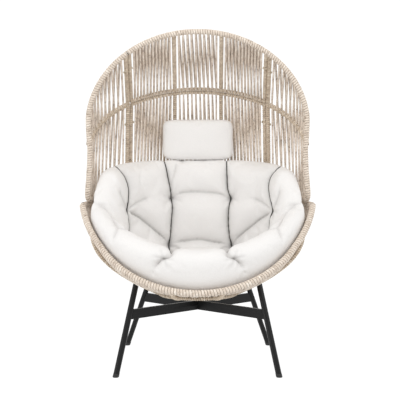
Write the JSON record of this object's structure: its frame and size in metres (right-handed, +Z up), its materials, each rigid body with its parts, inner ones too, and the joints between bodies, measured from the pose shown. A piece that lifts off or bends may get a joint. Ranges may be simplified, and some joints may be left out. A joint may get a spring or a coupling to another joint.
{
  "type": "egg lounge chair",
  "caption": "Free-standing egg-shaped lounge chair: tall hooded shell of wound strands on a black four-leg base, with a tufted seat cushion and a head pillow.",
  "frame": {"origin": "on the ground under the middle of the chair's footprint box", "axes": "+Z up, the open front faces -Y, +X to the right as seen from the front"},
  "size_m": [1.0276, 0.8004, 1.4376],
  "materials": {
    "rim_wrap": "flecked beige strand wound round tube",
    "woven_strand": "flecked beige strand, matt",
    "bolt_steel": "plated",
    "black_metal": "satin black powder coat",
    "foot_plastic": "black moulded",
    "cushion_fabric": "off-white plain weave",
    "pillow_fabric": "off-white plain weave"
  },
  "bodies": {
    "frame": {"wing_edge_left": "rim_wrap", "wing_edge_right": "rim_wrap", "hood_rim_centre": "rim_wrap", "seat_rim_front": "rim_wrap", "seat_rim_rear": "rim_wrap", "wing_rib_left": "woven_strand", "wing_rib_right": "woven_strand", "wing_hoop_left": "woven_strand", "wing_hoop_right": "woven_strand", "upper_outer_rib_left": "woven_strand", "upper_outer_rib_right": "woven_strand", "lower_outer_rib_left": "woven_strand", "lower_outer_rib_right": "woven_strand", "upper_inner_rib_left": "woven_strand", "upper_inner_rib_right": "woven_strand", "lower_inner_rib_left": "woven_strand", "lower_inner_rib_right": "woven_strand", "upper_hoop": "woven_strand", "lower_hoop": "woven_strand", "back_bottom_rail": "woven_strand", "wing_weave_upper_left": "woven_strand", "wing_weave_upper_right": "woven_strand", "wing_weave_lower_left": "woven_strand", "wing_weave_lower_right": "woven_strand", "back_weave_upper_left": "woven_strand", "back_weave_upper_right": "woven_strand", "back_weave_lower_left": "woven_strand", "back_weave_lower_right": "woven_strand", "back_weave_upper_middle": "woven_strand", "back_weave_lower_middle": "woven_strand", "base_ring": "woven_strand", "bowl_rib_1": "woven_strand", "bowl_rib_2": "woven_strand", "bowl_rib_3": "woven_strand", "bowl_rib_4": "woven_strand", "bowl_rib_5": "woven_strand", "bowl_rib_6": "woven_strand", "bowl_weave_rear": "woven_strand", "bowl_weave_front": "woven_strand", "base_weave": "woven_strand", "lower_rib_bolt_left": "bolt_steel", "lower_rib_bolt_right": "bolt_steel", "upper_rib_bolt_left": "bolt_steel", "upper_rib_bolt_right": "bolt_steel", "leg_front_left": "black_metal", "leg_front_right": "black_metal", "leg_rear_left": "black_metal", "leg_rear_right": "black_metal", "seat_strap_front_left": "black_metal", "seat_strap_front_right": "black_metal", "seat_strap_rear_left": "black_metal", "seat_strap_rear_right": "black_metal", "cross_bar_a": "black_metal", "cross_bar_b": "black_metal", "foot_cap_front_left": "foot_plastic", "foot_cap_front_right": "foot_plastic", "foot_cap_rear_left": "foot_plastic", "foot_cap_rear_right": "foot_plastic"},
    "seat_cushion": {"seat_cushion": "cushion_fabric"},
    "head_pillow": {"head_pillow": "pillow_fabric"}
  },
  "joints": [
    {"name": "cushion_lift_out", "type": "slide", "parent": "frame", "child": "seat_cushion", "axis": [0, -0.7659, 0.6429], "range_m": [0, 0.9]},
    {"name": "pillow_lift_off", "type": "slide", "parent": "seat_cushion", "child": "head_pillow", "axis": [0, -0.9401, 0.341], "range_m": [0, 0.5]}
  ]
}
